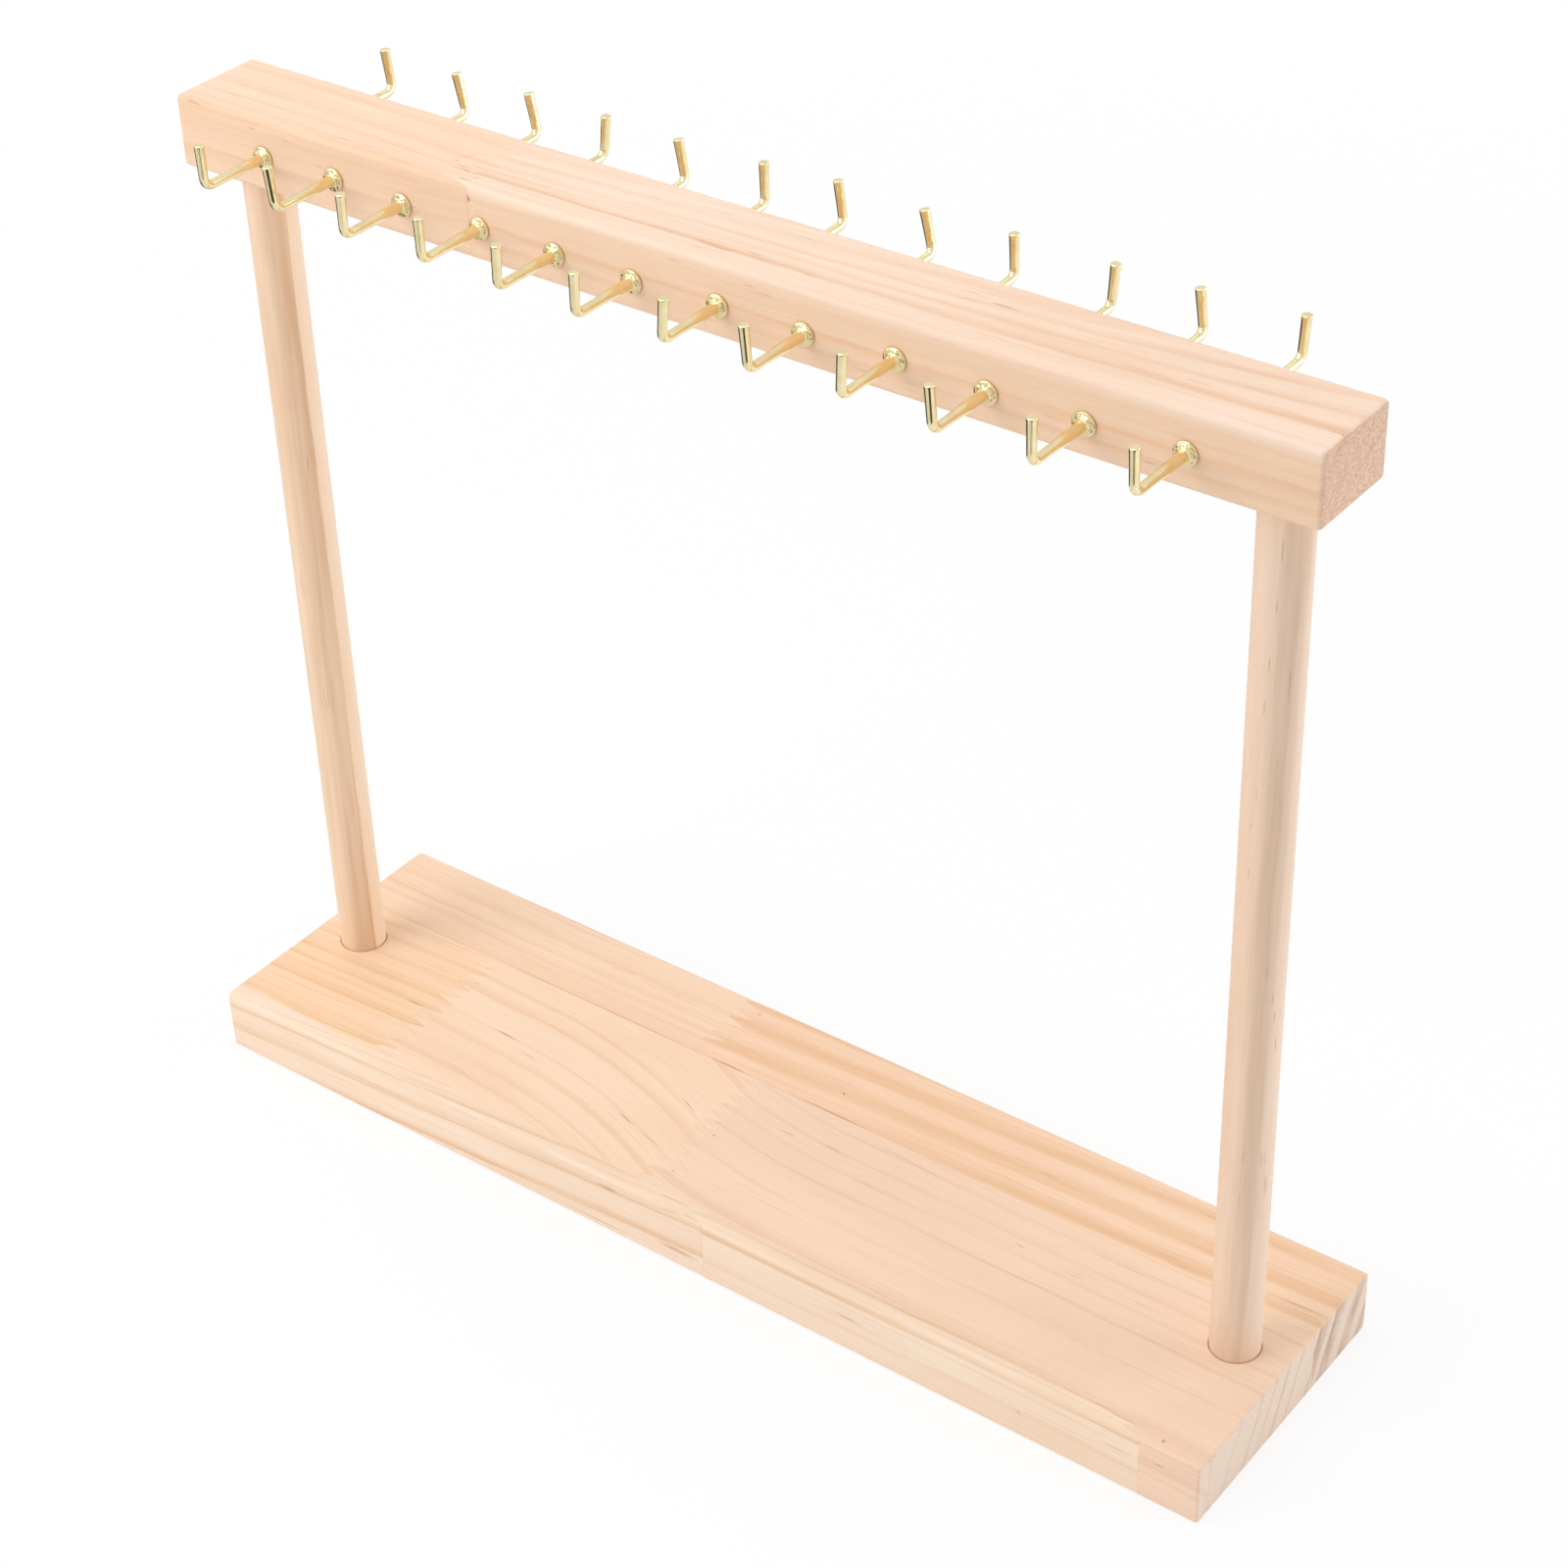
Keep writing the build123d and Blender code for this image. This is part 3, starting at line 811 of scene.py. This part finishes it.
# %% [markdown]
# ## Finger joints
# Short blocks are joined end to end by tapered fingers, which glue well because they meet along the grain.
# Bisect draws a line along the block at each side of each finger tip, and the points between the lines
# are slid along the grain by the depth of the joint. Both blocks of a joint use the same rule, so they
# close up.

# %% Fingers
FINGER_PITCH = 4.2
FINGER_TIP = 0.7
SAME_LINE = TINY / 4
PANEL_FINGER = (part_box("base_middle_left")[1].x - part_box("base_middle_centre")[0].x) / MM
BAR_FINGER = (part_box("bar_left")[1].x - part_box("bar_right")[0].x) / MM


def finger_share(y, y_low, step):
    """How much of the joint's depth a point at y is slid, from 0 on the seam to 1 at a tip."""
    half_tip = FINGER_TIP * MM / 2
    from_middle = abs((y - y_low) % step - step / 2)
    return min(1.0, max(0.0, (step / 2 - half_tip - from_middle) / (step / 2 - 2 * half_tip)))


def cut_fingers(block, seam_x, y_low, y_high, depth):
    """Slides the points of a sawn end into the zigzag of a finger joint."""
    count = max(1, round((y_high - y_low) / (FINGER_PITCH * MM)))
    step = (y_high - y_low) / count
    half_tip = FINGER_TIP * MM / 2
    for number in range(count):
        for offset in (half_tip, step / 2 - half_tip, step / 2 + half_tip, step - half_tip):
            bpy.ops.mesh.select_all(action="SELECT")
            bpy.ops.mesh.bisect(plane_co=(0, y_low + number * step + offset, 0), plane_no=(0, 1, 0))
    mesh = bmesh.from_edit_mesh(block.data)
    end_points = [vert.co.y for vert in mesh.verts if abs(vert.co.x - seam_x) < TINY]
    for y in sorted({round(value, 6) for value in end_points}):
        slide = -depth * MM * finger_share(y, y_low, step)
        if slide < -TINY:
            pick(block, "VERT", lambda v: abs(v.co.x - seam_x) < TINY and abs(v.co.y - y) < SAME_LINE)
            bpy.ops.transform.translate(value=(slide, 0, 0))


print("fingers", round(PANEL_FINGER, 1), "mm long in the base and", round(BAR_FINGER, 1), "mm in the bar")

# %% [markdown]
# ## Sawing the blocks
# Each block is a copy of its board, sawn off at the glue lines and at its seams. Bisect does the sawing: it
# keeps one side of a plane and closes the cut. Then the joints are cut. A tiny bevel eases every arris, and
# the joints show as hairlines, as they do after sanding.

# %% Blocks
HAIRLINE = 0.11
ARRIS_ANGLE = 50


def saw(point, normal):
    """Cuts what is being edited, keeps the side that the normal points to, and closes the cut."""
    bpy.ops.mesh.select_all(action="SELECT")
    bpy.ops.mesh.bisect(plane_co=point, plane_no=normal, use_fill=True, clear_inner=True)


def saw_block(board, node, board_low, board_high, depth):
    """One block of a board, at the place of its CAD node."""
    low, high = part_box(node)
    block = copy_of(board, node + "_wood")
    open_for_edit(block)
    if low.y > board_low.y + TINY:
        saw((0, low.y, 0), (0, 1, 0))
    if high.y < board_high.y - TINY:
        saw((0, high.y, 0), (0, -1, 0))
    if low.x > board_low.x + TINY:
        seam_x = low.x + depth * MM
        saw((seam_x, 0, 0), (1, 0, 0))
        cut_fingers(block, seam_x, low.y, high.y, depth)
    if high.x < board_high.x - TINY:
        saw((high.x, 0, 0), (-1, 0, 0))
        cut_fingers(block, high.x, low.y, high.y, depth)
    clear_selection()
    apply_modifier(block, "BEVEL", width=HAIRLINE * MM, segments=1, limit_method="ANGLE",
                   angle_limit=math.radians(ARRIS_ANGLE))
    return block


blocks = {node: saw_block(base_board, node, base_low, base_high, PANEL_FINGER) for node in BASE_GRAIN}
blocks.update({node: saw_block(bar_board, node, bar_low, bar_high, BAR_FINGER) for node in BAR_GRAIN})
for board in (base_board, bar_board):
    bpy.data.objects.remove(board)
for node, block in blocks.items():
    print(node, len(block.data.polygons), "faces")

# %% [markdown]
# ## Sockets
# Each post stands in a blind socket. Its cutter is a circle, extruded into a cylinder that flares out at the
# mouth. That eases the rim, so that a thin dark crescent shows round the post's foot. A Boolean modifier
# takes the cutter out of the block, which is simpler than drawing a round hole into faces.

# %% Sockets
SOCKET_CLEARANCE = 0.15
SOCKET_RIM = 0.3
OVERCUT = 2.0
ROUND_SIDES = 96


def socket_cutter(post_node, mouth_z, inward):
    """A cylinder that flares at the mouth, to cut the socket of one post."""
    low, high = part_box(post_node)
    centre = (low + high) / 2
    radius = (high.x - low.x) / 2 + SOCKET_CLEARANCE * MM
    floor_z = low.z if inward < 0 else high.z
    clear_selection()
    bpy.ops.mesh.primitive_circle_add(vertices=ROUND_SIDES, radius=radius, fill_type="NGON",
                                      location=(centre.x, centre.y, floor_z))
    cutter = bpy.context.active_object
    set_in_place(cutter, "socket_cutter")
    open_for_edit(cutter)
    bpy.ops.mesh.select_all(action="SELECT")
    flare = (radius + SOCKET_RIM * MM) / radius
    z = floor_z
    for next_z, growth in ((mouth_z + inward * SOCKET_RIM * MM, 1.0), (mouth_z, flare),
                           (mouth_z - inward * OVERCUT * MM, 1.0)):
        bpy.ops.mesh.extrude_region_move(TRANSFORM_OT_translate={"value": (0, 0, next_z - z)})
        bpy.ops.transform.resize(value=(growth, growth, 1), center_override=(centre.x, centre.y, next_z))
        z = next_z
    bpy.ops.mesh.select_all(action="SELECT")
    bpy.ops.mesh.normals_make_consistent(inside=False)
    clear_selection()
    return cutter


def take_out(block, cutter):
    """Cuts a block with a cutter and throws the cutter away."""
    apply_modifier(block, "BOOLEAN", operation="DIFFERENCE", solver="EXACT", object=cutter)
    bpy.data.objects.remove(cutter)


for post_node in POST_GRAIN_AND_SHADE:
    side = post_node.split("_")[1]
    sockets = (("base_middle_" + side, base_high.z, -1), ("bar_" + side, bar_low.z, 1))
    for block_node, mouth_z, inward in sockets:
        take_out(blocks[block_node], socket_cutter(post_node, mouth_z, inward))
        print("socket in", block_node, "with", len(blocks[block_node].data.polygons), "faces")

# %% [markdown]
# ## Pilot holes
# Each hook is screwed into a hole that was drilled first, a little wider than the screw. Its cutter is a
# plain cylinder, because nothing of the hole shows. A hole at the bar's joint is taken out of both blocks.

# %% Pilot holes
PILOT_RADIUS = 1.35
PILOT_DEPTH = 9.55
PILOT_SIDES = 24
HOOK_JOINTS = [joint for joint in frame["joints"] if joint["child"].startswith("hook_")]


def pilot_cutter(joint):
    """A cylinder that cuts the pilot hole of one hook."""
    outward = Vector(joint["axis"])
    middle = Vector(joint["pos_m"]) + outward * (OVERCUT - PILOT_DEPTH) / 2 * MM
    clear_selection()
    bpy.ops.mesh.primitive_cylinder_add(vertices=PILOT_SIDES, radius=PILOT_RADIUS * MM, location=middle,
                                        depth=(OVERCUT + PILOT_DEPTH) * MM, rotation=(math.pi / 2, 0, 0))
    cutter = bpy.context.active_object
    set_in_place(cutter, "pilot_cutter")
    return cutter


for joint in HOOK_JOINTS:
    for block_node in BAR_GRAIN:
        low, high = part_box(block_node)
        if low.x - PILOT_RADIUS * MM < joint["pos_m"][0] < high.x + PILOT_RADIUS * MM:
            take_out(blocks[block_node], pilot_cutter(joint))
print("bar faces", [len(blocks[node].data.polygons) for node in BAR_GRAIN])

# %% [markdown]
# ## The posts
# A dowel is turned or drawn through a die, and it is never perfectly round. The cylinder is cut into a
# few lengths by bisect, and each ring between them is scaled by a hair, which breaks the long straight
# highlight. The ends get the small chamfer that lets a dowel into its socket.

# %% Posts
POST_CHAMFER = 0.8
POST_RINGS = 24
POST_SWELL = 0.004
SWELL_STEP = 2.3


def make_post(node):
    """A dowel with chamfered ends and a slightly uneven girth."""
    low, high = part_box(node)
    centre = (low + high) / 2
    clear_selection()
    bpy.ops.mesh.primitive_cylinder_add(vertices=ROUND_SIDES, radius=(high.x - low.x) / 2,
                                        depth=high.z - low.z, location=centre)
    post = bpy.context.active_object
    set_in_place(post, node + "_wood")
    open_for_edit(post)
    pick(post, "EDGE", lambda edge: abs(edge.verts[0].co.z - edge.verts[1].co.z) < TINY)
    bpy.ops.mesh.bevel(offset=POST_CHAMFER * MM, segments=1, affect="EDGES")
    for number in range(1, POST_RINGS):
        z = low.z + (high.z - low.z) * number / POST_RINGS
        bpy.ops.mesh.select_all(action="SELECT")
        bpy.ops.mesh.bisect(plane_co=(0, 0, z), plane_no=(0, 0, 1))
        girth = 1 - POST_SWELL * (0.5 + 0.5 * math.sin(SWELL_STEP * number + centre.x / MM))
        pick(post, "VERT", lambda vert: abs(vert.co.z - z) < TINY)
        bpy.ops.transform.resize(value=(girth, girth, 1), center_override=(centre.x, centre.y, z))
    clear_selection()
    return post


for node in POST_GRAIN_AND_SHADE:
    blocks[node] = make_post(node)
    print(node, len(blocks[node].data.polygons), "faces")

# %% [markdown]
# ## Dressing the wood
# Every block gets its own pine. The grain runs along the boards and up the posts. A board's grain
# coordinates start at its left rear top corner, and a post's on its axis, with the rings, and the painted
# shade of the post, set across the view that the photograph has of it.

# %% Pine on the blocks
ALONG_BOARD, ACROSS_BOARD = (1, 0, 0), (0, -1, 0)
UP_THE_POST = (0, 0, 1)
yaw = math.radians(CAMERA_YAW)
ACROSS_POST = (math.cos(yaw), math.sin(yaw), 0)
WOOD_SMOOTH_ANGLE = 32
GRAIN = {**BASE_GRAIN, **BAR_GRAIN, **POST_GRAIN_AND_SHADE}

for number, (node, block) in enumerate(blocks.items()):
    kind = node.split("_")[0]
    if kind == "post":
        low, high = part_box(node)
        corner = ((low.x + high.x) / 2, (low.y + high.y) / 2, low.z)
        along, across = UP_THE_POST, ACROSS_POST
    else:
        low, high = (base_low, base_high) if kind == "base" else (bar_low, bar_high)
        corner = (low.x, high.y, high.z)
        along, across = ALONG_BOARD, ACROSS_BOARD
    block.data.materials.clear()
    block.data.materials.append(pine("pine_" + node, corner, along, across, GRAIN[node], seed=number + 1))
    smooth(block, WOOD_SMOOTH_ANGLE)
    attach(block, "rack")
    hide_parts(node)
print("wooden pieces:", len(blocks))

# %% [markdown]
# ## Brass
# The hooks are wire with a bright brass plate, pale lemon where they see the white table and ochre
# where they see the wood. Metal shows only what is round it, so the recipe is short: a metallic surface of
# the plate's colour, a low roughness that varies a little, and a fine ripple left by the wire drawing. The
# stamped collar is duller and darker than the wire. A value on the mesh, named stamped, says where it is.

# %% The brass recipe
BRASS = screen_colour(247, 235, 191)
BRASS_DULL = screen_colour(242, 225, 173)
BRASS_STAMPED = screen_colour(238, 220, 170)
CLOUD_SCALE = 260.0
RIPPLE_SCALE = 900.0
CLOUD_RANGE = (0.35, 0.65)
BRASS_ROUGHNESS = (0.3, 0.7, 0.07, 0.14)
STAMPED_ROUGHNESS = 0.08
RIPPLE_STRENGTH = 0.04
RIPPLE_DEPTH = 0.02


def brass_plate():
    """Bright brass plate with a little unevenness."""
    material, tree, shader = new_material("brass_plate")
    place = add_node(tree, "ShaderNodeTexCoord").outputs["Object"]
    clouds = add_node(tree, "ShaderNodeTexNoise", {"Vector": place, "Scale": CLOUD_SCALE}).outputs[0]
    ripple = add_node(tree, "ShaderNodeTexNoise", {"Vector": place, "Scale": RIPPLE_SCALE}).outputs[0]
    stamped = add_node(tree, "ShaderNodeAttribute", attribute_name="stamped").outputs["Fac"]
    colour = mix_colour(tree, remap(tree, clouds, *CLOUD_RANGE), BRASS, BRASS_DULL)
    roughness = remap(tree, clouds, *BRASS_ROUGHNESS)
    feed(tree, shader, {
        "Base Color": mix_colour(tree, stamped, colour, BRASS_STAMPED),
        "Roughness": calc(tree, "MULTIPLY_ADD", stamped, STAMPED_ROUGHNESS, roughness),
        "Metallic": 1.0,
        "Normal": relief(tree, ripple, RIPPLE_STRENGTH, RIPPLE_DEPTH),
    })
    return material


brass = brass_plate()
print("brass roughness between", BRASS_ROUGHNESS[2], "and", BRASS_ROUGHNESS[3])

# %% [markdown]
# ## The hook
# A screw hook is one wire: a pointed shank in the wood, a pressed collar, a thick neck, a thinner wire, a
# square bend and an upright arm with a slightly flared tip. It could be a curve with a bevel, but the
# collar and the neck change its girth, so it is drawn out of one circle. The circle is extruded from
# station to station along the shank and scaled at each, then spun round the bend, then extruded up the arm.
# A station is a place, along the shank or up the arm, and the radius there.

# %% Stations of the hook
WIRE_RADIUS = 1.25
BEND_RADIUS = 2.6
HOOK_REACH = 22.0
HOOK_RISE = 11.9
COLLAR_RADIUS = 3.3
NECK_RADIUS = 1.5
POINT_Y = 9.5
POINT_RADIUS = 0.12
SHANK_STATIONS = (
    (9.2, 0.45), (6.5, 1.25), (6.2, 1.3), (0.2, 1.3), (-0.05, 1.3),
    (-0.05, 1.7), (-0.05, 3.0), (-0.08, 3.2), (-0.2, COLLAR_RADIUS), (-0.55, COLLAR_RADIUS), (-0.7, 3.2),
    (-0.78, 2.95), (-0.86, 2.65), (-0.92, 2.4), (-1.0, 2.15), (-1.1, 1.9), (-1.3, 1.68), (-1.6, 1.56),
    (-2.2, NECK_RADIUS), (-5.0, NECK_RADIUS), (-9.4, 1.48), (-11.6, 1.38), (-13.4, 1.27),
    (-14.5, WIRE_RADIUS), (BEND_RADIUS - HOOK_REACH, WIRE_RADIUS),
)
ARM_STATIONS = (
    (4.2, 1.26), (7.0, 1.3), (9.5, 1.35), (HOOK_RISE - 0.5, 1.39), (HOOK_RISE - 0.25, 1.4),
    (HOOK_RISE - 0.08, 1.36), (HOOK_RISE, 1.2), (HOOK_RISE, 0.7),
)
print("stations:", len(SHANK_STATIONS), "along the shank and", len(ARM_STATIONS), "up the arm")

# %% [markdown]
# ## Drawing the hook
# The circle starts at the screw's point and ends at the tip, and both ends are closed by a face. Then a value
# on each point, named stamped, says whether it belongs to the collar.

# %% One hook, drawn out of a circle
WIRE_SIDES = 32
BEND_STEPS = 10
POINT_ZONE = 0.1
COLLAR_HOLE = 1.7
COLLAR_FRONT = 1.5


def draw_to(start, end, growth):
    """Extrudes the open ring to a new place and scales it there. Places are in millimetres."""
    step = (Vector(end) - Vector(start)) * MM
    bpy.ops.mesh.extrude_region_move(TRANSFORM_OT_translate={"value": step})
    bpy.ops.transform.resize(value=(growth, growth, growth), center_override=Vector(end) * MM)


def make_hook():
    """A plain hook with its collar's back at the origin, its shank along -Y and its arm up."""
    clear_selection()
    bpy.ops.mesh.primitive_circle_add(vertices=WIRE_SIDES, radius=POINT_RADIUS * MM,
                                      location=(0, POINT_Y * MM, 0), rotation=(math.pi / 2, 0, 0))
    hook = bpy.context.active_object
    set_in_place(hook, "hook")
    open_for_edit(hook)
    bpy.ops.mesh.select_mode(type="EDGE")
    bpy.ops.mesh.select_all(action="SELECT")
    y, radius = POINT_Y, POINT_RADIUS
    for next_y, next_radius in SHANK_STATIONS:
        draw_to((0, y, 0), (0, next_y, 0), next_radius / radius)
        y, radius = next_y, next_radius
    bpy.ops.mesh.spin(steps=BEND_STEPS, angle=math.pi / 2, center=(0, y * MM, BEND_RADIUS * MM),
                      axis=(1, 0, 0))
    z = BEND_RADIUS
    for next_z, next_radius in ARM_STATIONS:
        draw_to((0, -HOOK_REACH, z), (0, -HOOK_REACH, next_z), next_radius / radius)
        z, radius = next_z, next_radius
    bpy.ops.mesh.edge_face_add()
    pick(hook, "EDGE", lambda edge: all(vert.co.y > (POINT_Y - POINT_ZONE) * MM for vert in edge.verts))
    bpy.ops.mesh.edge_face_add()
    bpy.ops.mesh.select_all(action="SELECT")
    bpy.ops.mesh.normals_make_consistent(inside=False)
    clear_selection()
    return hook


def mark_collar(hook):
    """Writes down, on each point, whether it is part of the stamped collar."""
    stamped = hook.data.attributes.new("stamped", "FLOAT", "POINT")
    for vert, entry in zip(hook.data.vertices, stamped.data):
        radius = math.hypot(vert.co.x, vert.co.z)
        entry.value = float(radius > COLLAR_HOLE * MM and abs(vert.co.y) < COLLAR_FRONT * MM)


plain_hook = make_hook()
mark_collar(plain_hook)
print("hook", len(plain_hook.data.polygons), "faces", [round(size / MM, 1) for size in plain_hook.dimensions])

# %% [markdown]
# ## Twenty-four hooks
# The hook is copied to each screw hole. A collar is stamped from soft metal and comes out of the barrel
# dented, so each copy gets dents of its own: the points on the collar's face are moved a little at random,
# with the hook's number as the seed. A subdivision then rounds the wire. How far a hook was left turned is
# read from its CAD node: the tip is the part of it that lies furthest from the screw's axis.

# %% Hooks in their places
DENT_DEPTH = 0.22
DENT_EVENNESS = 0.3
DENT_ALONG_NORMAL = 0.5
DENT_RINGS = (1.6, 3.1)
DENT_BACK = 0.4
TIP_SHARE = 0.95
HOOK_SMOOTH_ANGLE = 60


def lean_of(node, centre):
    """How far a hook is turned about its shank, from its CAD mesh: 0 is upright."""
    points = [vert.co - centre for vert in frame["nodes"][node].data.vertices]
    reach = max(math.hypot(point.x, point.z) for point in points)
    tip = [point for point in points if math.hypot(point.x, point.z) > TIP_SHARE * reach]
    return math.atan2(sum(point.x for point in tip), sum(point.z for point in tip))


def on_collar_face(vert):
    """True for the points on the collar's front, where the dents are."""
    radius = math.hypot(vert.co.x, vert.co.z) / MM
    return DENT_RINGS[0] < radius < DENT_RINGS[1] and -COLLAR_FRONT * MM < vert.co.y < -DENT_BACK * MM


for number, joint in enumerate(HOOK_JOINTS):
    node = joint["child"]
    centre = Vector(joint["pos_m"])
    hook = copy_of(plain_hook, node + "_brass")
    open_for_edit(hook)
    pick(hook, "VERT", on_collar_face)
    bpy.ops.transform.vertex_random(offset=DENT_DEPTH * MM, uniform=DENT_EVENNESS, normal=DENT_ALONG_NORMAL,
                                    seed=number)
    clear_selection()
    apply_modifier(hook, "SUBSURF", levels=1, render_levels=1)
    turn = Matrix.Rotation(0 if joint["axis"][1] < 0 else math.pi, 4, "Z")
    lean = Matrix.Rotation(lean_of(node, centre), 4, "Y")
    hook.matrix_world = Matrix.Translation(centre) @ lean @ turn
    set_in_place(hook, node + "_brass")
    hook.data.materials.append(brass)
    smooth(hook, HOOK_SMOOTH_ANGLE)
    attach(hook, node)
    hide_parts(node)
bpy.data.objects.remove(plain_hook)
print("hooks:", len(HOOK_JOINTS))
